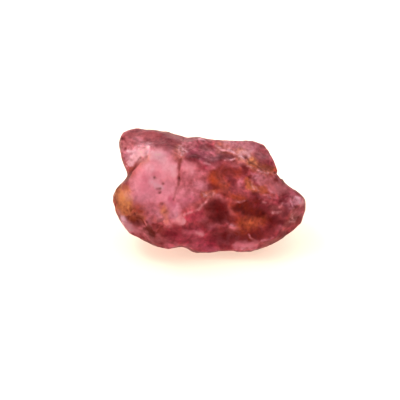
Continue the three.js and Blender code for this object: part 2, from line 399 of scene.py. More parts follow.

# What the broad face shows: stains, and painted light and shade. Each layer is brushed on in soft
# strokes, and a stroke has its width, its strength and the points that it runs through.
BRUSHED = {
    # Pale clear crystal, cleanest in the broad break at the left and in the one beside it, with
    # painted glow where light shines through: the pink band below the middle and the bright strip
    # along the bottom.
    "clear": (
        (8.3, 0.95, (-30, 9), (-25, 12)),
        (8.0, 0.90, (-33, 2), (-25, 0)),
        (5.5, 0.80, (-25, 16), (-22, 8), (-22, -2)),
        (4.0, 0.80, (-26, 18), (-22, 17.5)),
        (6.0, 0.50, (-32, -6), (-24, -8)),
        (4.5, 0.60, (-12, 12), (-10, 10)),
        (6.0, 0.40, (-10, 4), (-9, -4)),
        (2.7, 0.92, (-17.8, -8), (-17.3, -13), (-14.8, -15.8)),
        (1.6, 0.80, (-44, -14), (-41, -18), (-36, -21)),
        (2.2, 0.88, (14.5, -28.3), (23.5, -27.6)),
        (3.0, 0.80, (-11, 12.5), (-9.5, 12)),
        (2.5, 0.50, (-15.5, -1), (-14.5, -4)),
        (4.0, 0.45, (-12, -2), (-11, -4)),
        (1.7, 0.42, (15.7, 4.8), (15.3, 2.6)),
        (1.7, 0.80, (11.3, -18), (13.3, -18.5)),
        (1.1, 0.85, (-13, -21.2), (-8.5, -21.5)),
        (1.5, 1.00, (-7.5, -21.5), (-3.5, -22.1)),
        (3.5, 0.60, (-39, 17.5), (-35, 20)),
        (3.5, 0.80, (-45, -3), (-42, -4)),
        (3.0, 0.50, (-40, -5), (-36, -6)),
        (3.0, 0.50, (-36, -19), (-27, -24)),
        (3.0, 0.50, (26, 5), (31, 3)),
        (3.0, 0.38, (33, 2), (41, 0)),
        (2.5, 0.26, (9, 24.3), (14, 23.8)),
        (3.0, 0.50, (18, 23), (22, 22)),
        (1.5, 0.35, (46, -3), (48, -6)),
        (1.5, 0.50, (47, -10), (48, -12)),
        (1.8, 0.72, (0, -30.1), (1.8, -30.4)),
        (1.7, 0.32, (-11.4, -28.8), (-10.2, -29)),
        (1.6, 0.26, (3.4, -30), (4.4, -30)),
        (3.0, 0.45, (-3, -28), (-7, -27)),
        (1.6, 0.50, (10.5, -9), (11.5, -12)),
        (2.2, 0.50, (-5.5, -14), (-3, -14.3)),
        (1.8, 0.40, (13.6, 13.4), (15.2, 13.3)),
        (2.0, 0.36, (-37.2, 25.6), (-35.4, 25.5)),
        (1.8, 0.50, (-21.2, -16.6), (-19.5, -17)),
        (2.0, 0.50, (-14.3, -8), (-13, -6)),
        (3.0, 0.45, (-5, 3), (-3, 1)),
        (2.0, 0.40, (-22, -27.5), (-18, -28)),
        (2.5, 0.40, (-33, -15), (-30, -16)),
        (2.0, 0.50, (0, 12), (3, 12.5)),
        (2.4, 0.85, (-18.5, 13), (-18, 6)),
        (2.0, 0.44, (0, -18.5), (3.6, -18.5)),
        (2.5, 0.50, (-25, -13), (-22, -14)),
        (2.5, 0.35, (39, -8), (41, -10)),
        (2.5, 0.35, (27, -3), (29, -4)),
        (1.7, 0.42, (5.6, 0.1), (6.8, -0.2)),
        (2.0, 0.50, (35.2, 0.1), (36.6, -0.1)),
        (1.6, 0.28, (38.6, -13), (39.8, -13.2)),
        (1.8, 0.28, (27.2, -10.2), (28.4, -10.2)),
        (1.7, 0.28, (-13.8, -9.1), (-12.6, -9.1)),
        (1.7, 0.36, (-38.2, -22), (-37, -22.4)),
        (2.0, 0.30, (-6.4, -26), (-5, -26.2)),
        (1.8, 0.30, (-22.4, -25.3), (-21.2, -25.4)),
        (1.6, 0.34, (-23.6, -11.5), (-22.6, -11.5)),
        (1.7, 0.32, (5.4, -25.9), (6.6, -26)),
        (1.5, 0.30, (31.8, 11.8), (32.6, 11.6)),
        (2.0, 0.40, (-3.6, 8.6), (-2.2, 8.4)),
        (1.8, 0.45, (19.6, -27.3), (21.6, -27.3)),
        (1.6, 0.30, (-26, -19.4), (-24.8, -19.4)),
        (1.7, 0.80, (-45.6, -11.2), (-44.8, -12)),
        (1.8, 0.50, (-3.2, 1.9), (-2, 1.9)),
        (1.7, 0.32, (34.6, -19.5), (36.2, -19.4)),
        (1.6, 0.38, (16.8, 13.4), (18, 13.4)),
        (1.6, 0.34, (25.4, 14.5), (26.6, 14.4)),
        (1.5, 0.40, (4.2, -15), (5.4, -15.1)),
        (1.6, 0.38, (6.7, 3.4), (7.9, 3.4)),
        (1.6, 0.38, (6, -5.4), (7.2, -5.4)),
        (1.6, 0.40, (26.5, 0.6), (27.7, 0.4)),
        (1.6, 0.40, (27.1, -10.2), (28.3, -10.2)),
        (1.8, 0.40, (35.2, 0.2), (36.6, -0.4)),
        (1.7, 0.36, (44.4, -12.2), (45.6, -12.2)),
        (1.8, 0.34, (-16.6, 26.2), (-15, 26)),
        (1.8, 0.45, (-26, -15), (-24.8, -15.4)),
        (1.8, 0.36, (11, -20.8), (12.2, -20.8)),
        (1.6, 0.40, (12.6, -9.6), (13.8, -9.6)),
    ),
    # Orange iron stain.
    "iron": (
        (4.5, 0.55, (-46, -2), (-44, -7)),
        (5.0, 0.80, (-43, -9), (-37, -11)),
        (3.8, 0.85, (2.2, 7), (5.5, 2)),
        (3.0, 0.50, (5, 10), (14, 9)),
        (3.0, 0.60, (8, 2), (9, -2)),
        (2.4, 0.95, (13, -3.8), (17.5, -4.2)),
        (2.2, 0.75, (19.8, 4.5), (20.5, 2.5)),
        (1.8, 0.75, (23, 0.4), (28.5, 0.2)),
        (2.5, 0.50, (11, -8), (13, -12)),
        (3.5, 0.85, (17, -15.5), (27, -14.5)),
        (3.5, 0.80, (17, -20), (23, -19)),
        (3.0, 0.60, (25, 12), (33, 9)),
        (3.0, 0.50, (15, 17), (22, 14)),
        (2.0, 0.60, (-24, -8), (-23, -12)),
        (3.0, 0.50, (-40, 8), (-37, 13)),
        (3.0, 0.50, (42, -14), (45, -15)),
        (1.6, 0.50, (27, -1.4), (29, -1.6)),
        (2.2, 0.50, (-35, -12.6), (-33.4, -13)),
        (1.5, 0.40, (11, -17), (12.4, -17.2)),
        (1.8, 0.40, (30, -2), (31.4, -2.2)),
        (1.8, 0.45, (-44.4, -11.8), (-43.6, -13.2)),
        (1.5, 0.40, (15.4, -5.2), (16.4, -5.4)),
        (1.6, 0.35, (4, -18.7), (5.2, -18.7)),
        (1.5, 0.30, (5, -15), (6, -15.2)),
        (1.6, 0.40, (2, -1.4), (3.2, -1.6)),
        (1.6, 0.35, (-2.8, -1.6), (-1.2, -1.8)),
        (1.6, 0.36, (-28.6, -14.3), (-27.4, -14.4)),
        (1.6, 0.36, (30.3, 2.9), (31.5, 2.9)),
        (1.6, 0.30, (-26, -19.4), (-24.8, -19.4)),
        (1.6, 0.40, (-26, -15), (-24.8, -15.4)),
        (1.6, 0.40, (11, -20.8), (12.2, -20.8)),
    ),
    # Yellowish clay rubbed into the pores.
    "ochre": (
        (4.5, 0.60, (-47, -1), (-43.5, -5)),
        (3.0, 0.80, (-47, -2), (-45, -4)),
        (2.5, 0.70, (-43, -3), (-42, -5)),
        (3.0, 0.45, (-45, -9), (-42, -9)),
        (2.9, 0.68, (16.5, 19), (19, 17.8), (21.8, 15)),
        (2.5, 0.45, (24, 12), (31, 10)),
        (2.0, 0.60, (19.8, 4), (21, 2)),
        (1.8, 0.40, (23, 0.4), (28.5, 0.2)),
        (2.0, 0.45, (-1.4, -2.0), (1.2, -2.4)),
        (3.0, 0.35, (-47, -9.5), (-44.5, -10.5)),
        (1.8, 0.55, (-42, 1), (-41.4, -0.4)),
        (2.2, 0.40, (-42, -12.6), (-38, -14)),
        (2.5, 0.45, (-34, 16), (-32, 17)),
        (2.0, 0.45, (-23, -10), (-22, -15)),
        (3.0, 0.25, (-15, 21), (-15.5, 17)),
        (4.0, 0.25, (18, -17), (26, -16)),
        (3.5, 0.30, (6, 22), (14, 21)),
        (4.5, 0.22, (30, 5), (36, 1)),
        (5.0, 0.18, (22, 22), (28, 19)),
        (1.7, 0.70, (-45.6, -11.2), (-44.8, -12)),
        (1.6, 0.32, (-35.4, -14.6), (-34.4, -14.6)),
        (1.6, 0.50, (18, 17.2), (19.2, 17)),
        (2.4, 0.30, (18, 16.4), (22, 14.4)),
    ),
    # A purplish cast.
    "plum": (
        (3.5, 1.00, (-9, 18), (-3, 17)),
        (2.3, 1.00, (-4.6, 21.4), (1.4, 21.0)),
        (5.0, 0.70, (-18, -22), (-6, -24), (0, -28)),
        (3.0, 0.80, (-10, -14), (-5, -12)),
        (4.0, 0.80, (27, -7), (34, -9)),
        (4.0, 0.50, (24, 21), (30, 16)),
        (6.0, 0.40, (42, -6), (44, -12)),
        (5.0, 0.30, (32, 4), (38, 0)),
        (4.0, 0.50, (-2, 13), (2, 15)),
        (3.0, 0.40, (2, -22), (6, -24)),
        (2.0, 0.50, (-19, -5), (-18.5, -8)),
        (3.5, 0.24, (-35.5, 8), (-33, 2)),
        (2.2, 0.28, (-14, -5.4), (-12.6, -5.8)),
        (1.8, 0.30, (-27.6, 8.2), (-26.4, 8)),
        (2.0, 0.56, (-30, 19.4), (-28.4, 19.4)),
        (2.0, 0.24, (-32.6, 6.2), (-31.4, 5.6)),
        (2.2, 0.28, (-9.8, -4), (-8.6, -4.4)),
    ),
    # Deep red painted shade, in hollows, under ridges and where the light has come a long way
    # through the stone.
    "maroon_and_shade": (
        (4.4, 0.80, (1.5, -8), (4, -11), (2.4, -13.5)),
        (3.3, 0.80, (4.5, -8), (7.5, -10.5), (6, -13.6)),
        (2.8, 0.95, (14, -9.5), (20, -10.8), (27, -11.8)),
        (3.0, 0.50, (26, -7), (30, -9), (33, -11.5)),
        (2.4, 0.70, (31.5, -15), (35, -15.5)),
        (3.5, 0.60, (3.5, -23), (7, -24.5)),
        (3.4, 0.75, (10, -23), (18, -24.2), (25, -23.2)),
        (1.6, 0.70, (17.6, 12.2), (18.6, 9.8)),
        (2.0, 0.40, (7, -28), (10, -28.3)),
        (2.6, 0.45, (4, 10.5), (12.5, 10)),
        (1.8, 0.52, (10.4, 6), (12.1, 3.8)),
        (2.5, 0.45, (-40, 29), (-34, 30), (-22, 27)),
        (2.8, 0.40, (-43, 27), (-38, 24.5)),
        (2.0, 0.12, (-19, 20.5), (-16, 17), (-14.5, 14)),
        (3.0, 0.45, (-20, 24), (-16, 25)),
        (4.0, 0.45, (-22, -22), (-15, -20)),
        (1.2, 0.50, (38, -1), (38, -5)),
        (2.6, 0.28, (43.5, -9), (44, -13)),
        (3.0, 0.30, (7, 17.5), (11, 17.5)),
        (2.0, 0.55, (8, -13), (12, -15)),
        (1.6, 0.14, (-5, 12.5), (-1, 13.5)),
        (1.8, 0.24, (5, 12), (9, 12)),
        (1.8, 0.85, (-3.8, 21.8), (0.7, 21.3)),
        (1.8, 0.40, (-9, 17.5), (-4, 17)),
        (1.6, 0.52, (-4.6, -8.9), (-3, -8)),
        (2.4, 0.85, (15, -8), (21, -7)),
        (2.4, 0.80, (23.5, -2.5), (24.5, -5)),
        (1.6, 0.35, (26, -29.5), (33, -26.5), (39, -23)),
        (2.2, 0.54, (41.8, -13.8), (44.6, -14.4)),
        (1.8, 0.50, (0.5, 1.2), (3.5, 1)),
        (2.0, 0.42, (-26.5, 23.2), (-23.5, 21.8), (-18, 21.4)),
        (1.8, 0.52, (-32.5, 25), (-30.5, 24.6)),
        (1.8, 0.30, (21, 6.2), (22.8, 5)),
        (1.8, 0.55, (37, -6.4), (38.4, -8)),
        (1.6, 0.35, (31, 6.8), (32.6, 6.2)),
        (1.6, 0.40, (7.6, -19.2), (9, -18.8)),
        (2.0, 0.40, (-9.5, 14.6), (-7, 15)),
        (1.8, 0.40, (7.4, 16), (9.2, 15.8)),
        (1.6, 0.48, (37.6, -22.3), (40, -21.7)),
        (1.8, 0.25, (-28.5, -11), (-26, -11.5)),
        (1.8, 0.35, (11.5, 15.2), (12.8, 15)),
        (1.8, 0.30, (7, 19.2), (9, 18.6)),
        (2.0, 0.70, (-1, 15.3), (5, 16)),
        (1.8, 0.70, (-11, 15.8), (-7, 16.6)),
        (1.6, 0.45, (16.2, 8.6), (18.2, 8)),
        (1.8, 0.50, (37.5, -17), (40.5, -17)),
        (1.8, 0.50, (39.5, -6.3), (40.6, -7.6)),
        (1.8, 0.66, (36.8, -10.8), (38, -11.4)),
        (2.0, 0.90, (31.8, -8.8), (33.2, -9.4)),
        (1.6, 0.50, (35.7, -1.8), (36.2, -4)),
        (1.9, 0.62, (35.4, 5.7), (37.6, 3.8)),
        (2.4, 0.50, (25.6, 18.4), (28.2, 17.2)),
        (2.0, 0.40, (-3, -16.5), (-1, -18.5)),
        (2.0, 0.32, (-21, -11), (-19.5, -12)),
        (3.0, 0.25, (6, 19), (13, 18.5)),
        (1.6, 0.35, (-11.5, -23.2), (-9.8, -23.4)),
        (1.6, 0.52, (3.8, 22.5), (5.4, 21.6)),
        (1.5, 0.50, (45.6, -0.9), (47.2, -2.2)),
        (1.5, 0.30, (20, -3), (21, -3.2)),
        (1.7, 0.24, (6.8, 7.6), (8, 7.6)),
        (2.0, 0.40, (-28, -25), (-25, -26)),
        (1.8, 0.20, (-4.4, -2.8), (-3, -2.2)),
        (1.6, 0.10, (-37.5, 24.2), (-35.5, 23.8)),
        (1.8, 0.35, (-3, 22.7), (-1.6, 22.7)),
        (1.4, 0.22, (17, -4.8), (18, -5)),
        (1.8, 0.22, (19, 2.2), (20.2, 2.4)),
        (1.8, 0.22, (21.2, 13.2), (22.4, 12.8)),
        (1.6, 0.20, (7.2, 24), (8.6, 24)),
        (1.8, 0.20, (28.6, 17.2), (29.6, 16.6)),
        (1.6, 0.18, (-31, 24.9), (-29.8, 24.9)),
        (1.4, 0.18, (-43, 20.6), (-42.3, 20.2)),
        (1.4, 0.22, (8.6, -14.4), (9.4, -15)),
        (1.5, 0.20, (4.9, -2.9), (6, -2.9)),
        (1.8, 0.46, (-14.4, 21.6), (-12.4, 21.3)),
        (1.6, 0.30, (-36.6, 23.6), (-35.2, 23.4)),
        (1.6, 0.28, (-2.8, 14.2), (-1.2, 14.2)),
        (1.6, 0.20, (1.2, 14), (2.6, 14)),
        (1.6, 0.18, (-16.2, -12.3), (-14.8, -12.3)),
        (1.6, 0.42, (-2.8, 22.3), (-1.2, 22.4)),
        (1.6, 0.28, (10.2, -27.3), (11.6, -27.4)),
        (1.6, 0.14, (-28.9, -8.6), (-27.7, -8.6)),
        (1.6, 0.20, (-16.4, 17.9), (-15.2, 17.9)),
        (1.6, 0.16, (-14.6, 3.6), (-13.4, 3.6)),
        (1.8, 0.16, (-9.4, 8.5), (-7.8, 8.3)),
        (1.6, 0.20, (-8, -23), (-6.6, -23)),
        (1.6, 0.16, (-32.3, -9.8), (-31.1, -9.8)),
        (1.8, 0.12, (-31.8, 13.3), (-30.6, 13.3)),
        (1.6, 0.20, (6.9, 20.6), (8.1, 20.6)),
        (1.6, 0.28, (5.2, -3.7), (6.4, -3.8)),
        (1.5, 0.16, (-31.4, 24.4), (-30.2, 24.4)),
        (1.6, 0.14, (-29.4, 19.4), (-28, 19.2)),
        (1.5, 0.26, (9.1, 4.2), (10.3, 4.2)),
        (1.7, 0.26, (32.6, -19.1), (33.8, -19.4)),
    ),
    # Brown rust.
    "rust": (
        (2.3, 0.62, (-40, -14.4), (-35.4, -16.6)),
        (2.2, 0.90, (-30.2, -19), (-29.2, -21.8)),
        (1.8, 0.55, (-38, -17), (-35.5, -17.8)),
        (1.8, 0.20, (-30, -15), (-27.5, -15.8)),
        (2.0, 0.10, (-38, -12), (-34, -15)),
        (3.6, 0.48, (22, -23.6), (30, -22)),
        (2.2, 0.60, (26, 12.6), (31, 11.0)),
        (1.1, 0.50, (-41.5, 7.5), (-39.5, 11.5), (-36.5, 15)),
        (1.0, 0.50, (-15.4, 15), (-15.9, 11)),
        (1.8, 0.50, (-42.8, 6), (-42.3, 1.5)),
        (2.0, 0.50, (-47.2, 0.8), (-48.2, -4)),
        (3.0, 0.40, (15, -15), (16, -20)),
        (4.0, 0.38, (14, -6.5), (26, -9)),
        (2.0, 0.42, (18, -18.6), (20.5, -18.6)),
        (4.0, 0.18, (-10, 20), (0, 20)),
        (4.0, 0.10, (22, 22), (28, 20)),
        (1.4, 0.30, (-40, 8), (-39.4, 9.6)),
        (1.6, 0.30, (29, 10.8), (31, 10)),
        (1.6, 0.22, (41.5, -13.9), (42.6, -13.9)),
        (1.4, 0.28, (42.4, -14.2), (43.4, -14.2)),
        (1.4, 0.20, (-44.2, -13.2), (-43.4, -13.8)),
        (1.4, 0.26, (21.6, 1.8), (22.5, 1.4)),
        (1.5, 0.26, (30.1, -1.6), (31.3, -1.6)),
        (1.4, 0.20, (-41.6, 14.6), (-40.8, 14)),
        (1.5, 0.20, (-2.6, -1.6), (-1.4, -1.7)),
        (1.5, 0.26, (26.8, -1.9), (28, -2)),
        (1.5, 0.34, (-35.2, -12.6), (-34, -13)),
        (1.8, 0.44, (32, -18.4), (33.6, -18.8)),
        (1.3, 0.34, (-41.6, 5.2), (-41.3, 4.4)),
        (1.8, 0.32, (-46.6, -6.6), (-46, -8.6)),
        (1.6, 0.22, (8.4, -14.7), (9.6, -14.6)),
        (1.8, 0.42, (35.2, 5.6), (37, 4)),
    ),
    # Frosting, heaviest on the shoulder, on the upper left and along the worn ridges, with painted
    # highlights on the right lobe.
    "frost_and_highlight": (
        (3.5, 0.80, (-40, 18.5), (-38, 17.5), (-35, 21)),
        (3.0, 0.15, (-13.6, 21.5), (-14.4, 18)),
        (3.0, 0.35, (-3, 20), (2, 17)),
        (2.8, 0.40, (9, 24.3), (18, 24), (24, 24)),
        (1.8, 0.40, (-9.2, 23.8), (-7.8, 23.6)),
        (2.4, 0.55, (14.5, 19), (19, 18), (17, 15)),
        (1.4, 0.40, (-1.4, -2.2), (2, -2.6), (5, -3.8)),
        (3.0, 0.50, (25, 7), (30, 4)),
        (3.0, 0.45, (33, 1), (37, 1)),
        (2.4, 0.45, (44, -4.4), (46.4, -5.2)),
        (5.0, 0.30, (22, 22), (28, 19)),
        (5.0, 0.14, (38, -12), (44, -14)),
        (4.0, 0.16, (30, -6), (36, -9)),
        (2.0, 0.45, (-26, -13), (-21, -17)),
        (1.6, 0.50, (-45, 24), (-45, 21)),
        (1.7, 0.45, (-33.6, 16.2), (-32.6, 16.2)),
        (2.0, 0.65, (12.4, 23.2), (13.8, 22.8)),
        (1.8, 0.40, (44.2, -12.2), (45.4, -12.2)),
        (1.8, 0.45, (-42.4, 23.8), (-41.4, 23.6)),
        (1.6, 0.32, (-5.8, 13.9), (-4.6, 13.9)),
        (1.7, 0.36, (3.4, 20.1), (4.6, 19.9)),
        (1.8, 0.36, (-38.8, 4.4), (-38.2, 3.6)),
        (1.6, 0.45, (-42.5, 18.8), (-42, 18.2)),
        (1.6, 0.30, (-3.6, 25.4), (-2.4, 25.4)),
        (1.8, 0.34, (21.6, 23.8), (23, 23.8)),
        (1.7, 0.34, (15, 22.7), (16.2, 22.7)),
        (1.8, 0.34, (18.3, 21.8), (19.7, 21.6)),
        (1.8, 0.34, (-12.2, 23.4), (-7.6, 23.4)),
        (1.5, 0.36, (0, -2), (1.2, -2.2)),
        (1.8, 0.50, (42.6, -3.4), (43.6, -3.4)),
    ),
    # Veils: cloudy white sheets of healed fracture close under the skin, and painted highlights on
    # the shoulder at the upper left and on the right lobe.
    "vein_and_highlight": (
        (2.0, 0.28, (-10.9, 10.7), (-9.5, 10.5)),
        (1.6, 0.30, (-33.6, 15.9), (-32.4, 15.8)),
        (2.0, 0.95, (-43.7, -14.8), (-42.6, -16.2), (-40.2, -19.4)),
        (1.7, 0.70, (-16.2, -14.2), (-13.5, -16)),
        (2.0, 0.70, (17.3, 18.4), (20, 18.6)),
        (2.5, 0.80, (-34.6, 19.3), (-32.4, 19.3)),
        (2.3, 1.00, (-38.4, 17.8), (-36.5, 16.8)),
        (3.2, 1.00, (-27, 18), (-24.2, 16)),
        (1.8, 0.85, (-18, 11.4), (-17.6, 7.6)),
        (2.6, 0.50, (-28.5, 4.4), (-26, 4.2)),
        (2.5, 0.55, (-22.5, 14), (-20.5, 11.5)),
        (1.8, 0.40, (-31, 23.3), (-29, 23)),
        (2.6, 0.40, (-30, 11.6), (-28.8, 11.2)),
        (1.5, 1.00, (-26.2, 1.8), (-24.2, 1.3)),
        (2.0, 0.28, (-41.6, -2.8), (-41.2, -3.4)),
        (1.4, 0.95, (-39.6, 14), (-38.8, 14.8)),
        (1.6, 0.50, (45, -4.5), (47.0, -6)),
    ),
    # Faint painted shade in two hollows.
    "crack": (
        (1.5, 0.15, (-2.7, 22.4), (-1.2, 22.4)),
        (1.4, 0.15, (42.3, -14.2), (43.6, -14.2)),
    ),
    # The stone is fuller here, and leaner where the strength is below nought.
    "swell": (
        (4.0, 0.36, (-20, 29), (-17, 28.5)),
        (3.0, 0.12, (-43, 31), (-40, 32)),
        (3.0, 0.12, (27, 24.5), (30, 22)),
        (3.0, 0.20, (-7, -31.5), (1, -32)),
        (3.0, 0.18, (24, -31), (28, -29.5)),
        (1.6, -0.50, (37.1, 7.0), (36.5, 8.0)),
        (2.5, -0.35, (-49, -1), (-46, 4), (-42.5, 8)),
        (3.0, 0.22, (50, -12), (48.5, -16)),
        (2.6, -0.20, (40.5, 4.8), (44, 2.6), (47.5, -0.2)),
        (2.5, -0.20, (-50.5, -2), (-50, -8)),
    ),
}

# Broken patches, among them painted highlights: the pale flecks on the shoulder at the upper left.
# A stroke of flecks has their size in millimetres after its strength.
FLECKED = {
    "clear": ((4.0, 0.50, 0.35, (10, -14), (14, -20), (10, -26)),),
    "iron": ((4.0, 0.38, 0.30, (14, 17), (24, 14), (32, 9)),),
    "maroon_and_shade": ((5.0, 0.35, 0.30, (38, 4), (44, -4), (45, -13)),),
    "rust": (
        (3.8, 0.72, 0.30, (-40, -12.4), (-28.6, -20), (-25.4, -16)),
        (3.5, 0.50, 0.25, (16, 16), (24, 13)),
    ),
    "frost_and_highlight": (
        (5.0, 0.60, 0.25, (24, 7), (34, 2), (30, -2)),
        (4.0, 0.40, 0.30, (40, -6), (44, -10)),
        (5.0, 0.36, 0.30, (-9, 24), (-5, 19)),
    ),
    "vein_and_highlight": (
        (2.2, 0.70, 0.22, (-41, 14), (-38, 18), (-35, 21)),
        (2.6, 0.34, 0.20, (-13, 20.5), (-13.5, 17.5)),
        (1.5, 0.60, 0.22, (-1.4, -2.0), (1.2, -2.6)),
        (2.8, 0.22, 0.30, (9, 24), (20, 22)),
    ),
}

# Thin lines.
DRAWN = {
    # A purplish line of painted shade in a hollow on the upper left.
    "plum": ((0.70, 0.45, (-41.2, 18.9), (-39.6, 19.4), (-37.6, 20.1)),),
    # Short dark red marks of painted shade.
    "maroon_and_shade": (
        (0.90, 0.60, (42.4, -7.8), (44, -8.2)),
        (0.90, 0.60, (43.8, -13.8), (45, -14.2)),
        (0.80, 0.50, (39.6, -3.4), (40.4, -2.6)),
        (0.70, 0.50, (-1.8, 14.9), (1.6, 15.2)),
    ),
    # Cracks that rust has got into.
    "rust": (
        (0.60, 0.70, (-14.6, 15.5), (-15, 10), (-15.2, 6.2)),
        (0.60, 0.30, (-22, 20.5), (-19, 18), (-17, 14)),
        (0.60, 0.60, (-41.2, 17), (-40.4, 16.4), (-39.2, 15.8)),
        (0.80, 0.80, (-15.2, 5), (-15.6, 2.6)),
        (0.60, 0.50, (-15.6, 2.6), (-16.6, -1), (-17.8, -5)),
    ),
    # Worn ridges.
    "frost_and_highlight": (
        (0.90, 0.40, (-13, -12.6), (-8, -11.1), (-5, -9.8), (-3.3, -7.8), (0, -4.6)),
        (0.80, 0.40, (3, -3.6), (8, -4.3), (13, -6)),
        (1.30, 1.00, (-46, -11), (-42.5, -17.5), (-37, -21)),
        (0.80, 0.55, (-0.6, -21), (1.2, -18.2), (4.3, -17.2), (7.2, -18)),
        (0.80, 0.20, (-6.2, 14), (-2.6, 14.6), (-0.6, 16.2)),
        (0.80, 0.35, (-3.2, 13.8), (0.4, 12.8), (2.6, 11.2)),
    ),
    # Healed cracks, and painted highlights on the edges of breaks, on the shoulder at the upper
    # left, on the right lobe and along the bottom.
    "vein_and_highlight": (
        (0.58, 0.45, (-13, -12.6), (-8, -11.1), (-5, -9.8), (-3.3, -7.8), (0, -4.6)),
        (0.55, 0.65, (-0.9, -3.4), (0.6, -1.6)),
        (0.55, 0.65, (1, -3.3), (2, -2.1)),
        (0.50, 0.24, (2.8, -3.3), (4.8, -2.6)),
        (0.50, 0.24, (-15, 23.2), (-16, 18.2)),
        (0.50, 0.34, (-13.2, 23.5), (-14.2, 17.6)),
        (0.50, 0.24, (-11.4, 23.4), (-12.2, 19.6)),
        (0.50, 0.25, (12, -6), (15, -6), (18, -5)),
        (0.80, 0.90, (-44.5, -14), (-41, -19), (-39, -20.5)),
        (0.60, 0.48, (3.7, 23.3), (5.6, 21.6)),
        (0.55, 0.40, (6.3, 20.9), (9.5, 21.0)),
        (0.60, 1.00, (9.5, 21.0), (12.4, 19.6), (15, 17.5)),
        (0.60, 1.00, (15, 17.5), (17.6, 16.4)),
        (0.55, 0.70, (8.2, 15.6), (11, 15.6), (13.3, 16.3)),
        (0.60, 0.90, (19.9, 12.2), (24, 10.4), (26.4, 9.5)),
        (0.60, 0.60, (26.4, 9.5), (30, 8.6)),
        (0.60, 1.00, (32.5, -11.3), (35, -11.3)),
        (0.50, 0.40, (35.4, -11), (36.4, -11)),
        (0.66, 0.95, (-41.8, 20.4), (-40, 20), (-38.3, 20.3)),
        (1.12, 1.00, (-40, 17), (-38, 18.6), (-36.5, 17)),
        (0.60, 0.80, (-33.6, 21.5), (-31.5, 21.9), (-30, 22.8)),
        (0.52, 0.90, (-36, 22.8), (-34.5, 22.6)),
        (0.60, 1.00, (-41, 13.9), (-39.4, 15.6)),
        (0.72, 1.00, (44.4, -3.5), (45.8, -4.6), (46.8, -6)),
        (0.60, 0.50, (36, -8.6), (37, -6.6)),
        (0.50, 0.50, (43.5, -6.6), (45.5, -7)),
        (0.50, 0.50, (41.5, -14), (44, -15.6), (47, -14)),
        (0.50, 0.80, (43, -4), (43.5, -7)),
        (0.60, 0.50, (41.5, -3), (42.5, -8)),
        (0.50, 0.40, (42, -12), (42.5, -15)),
        (0.60, 0.60, (30.5, 0.5), (33, -1.5)),
        (0.52, 0.90, (23.5, 6), (24.5, 7.5)),
        (0.52, 0.35, (21.3, 3.8), (21.8, 2), (22.6, 0.4)),
        (0.50, 0.80, (11, -17.6), (12.5, -18.4)),
        (0.50, 0.80, (27, -6), (29, -6.4)),
        (0.52, 0.80, (-5, 26), (-2, 25.8)),
        (0.50, 0.50, (-3, 14), (0, 13.3)),
        (0.50, 0.20, (20, -22.4), (20.8, -24.2), (22.3, -25.6), (25.5, -26.8)),
        (0.50, 0.50, (26.9, -26.1), (29.5, -25.8), (32.6, -24.3)),
        (0.80, 0.75, (-6.5, -21.6), (-3.2, -22.4)),
        (0.70, 0.60, (17, -29.7), (19, -29.2), (22, -28.2)),
        (0.60, 0.50, (10.6, -17.6), (11.6, -19.2)),
        (0.55, 0.70, (41.4, -5.4), (43.2, -6)),
        (0.50, 0.50, (40.4, -9.4), (43, -9)),
        (0.50, 0.50, (41.2, -16.4), (44.2, -16.2)),
        (0.50, 0.20, (21.4, 2.6), (22.6, 0.8)),
        (0.50, 0.40, (23.8, 1.4), (25, -0.2)),
    ),
    # Open cracks.
    "crack": (
        (0.50, 0.50, (-14.6, 14.5), (-15, 9.5)),
        (0.55, 0.75, (-40, 9), (-38.5, 11.5), (-36.7, 14.5), (-34.8, 16.6)),
        (0.62, 0.60, (17.5, 17.5), (19.5, 16.8), (20.5, 15), (22.5, 13.5)),
        (0.70, 0.60, (-26.3, 0.5), (-24.7, 0.5)),
        (0.62, 0.50, (-22.8, -11.3), (-21.5, -10.5)),
        (0.50, 0.50, (-40.4, 16.4), (-39.2, 15.6)),
        (0.50, 0.45, (-34, 21.6), (-32.2, 21.9)),
    ),
}

for layer, strokes in BRUSHED.items():
    for width, strength, *path in strokes:
        skin.brush(layer, width, strength, *path)
for layer, strokes in FLECKED.items():
    for width, strength, size, *path in strokes:
        skin.flecks(layer, width, strength, size, *path)
for layer, strokes in DRAWN.items():
    for width, strength, *path in strokes:
        skin.line(layer, width, strength, *path)

# Dark specks.
for width, strength, place in (
    (1.0, 0.90, (-15.3, 5.8)),
    (0.9, 0.85, (-27.3, 6.1)),
    (0.9, 0.85, (-23.4, 3.3)),
    (0.8, 0.80, (-24.9, -1.4)),
    (0.8, 0.50, (-31.6, 16.8)),
    (1.1, 0.70, (-24.2, -7.3)),
    (1.1, 0.80, (-26, -18)),
    (2.0, 0.85, (-29.5, -22)),
    (0.9, 0.80, (-43.5, 21.7)),
    (0.8, 0.80, (18.8, 16.8)),
    (0.9, 0.80, (20.8, 13.8)),
    (0.8, 0.70, (22.2, 13.4)),
    (0.8, 0.60, (-18, -13)),
    (0.9, 0.40, (-27, -21)),
    (0.8, 0.50, (8, -2.4)),
    (0.8, 0.80, (33.5, 8.6)),
    (0.9, 0.80, (46, -14)),
    (1.2, 0.70, (-36, -16.5)),
    (0.7, 0.70, (12.7, -18.3)),
    (0.8, 0.70, (27.7, -14.5)),
    (0.8, 0.60, (28, 6)),
):
    skin.speck("crack", width, strength, place)

# Painted shade: a dark grey-brown band round the stone's edge, where the surface turns edge-on to
# the camera.
RIM_SHADE_WIDTH = 0.28  # the sine of the angle from edge-on at which it has thinned out
RIM_SHADE_STRENGTH = 0.75
rim_shade = np.exp(-((skin.facing / RIM_SHADE_WIDTH) ** 2)) * RIM_SHADE_STRENGTH
skin.lay("painted_rim_shade", rim_shade * np.clip(0.8 + skin.noise(0.8, 12), 0, 1))

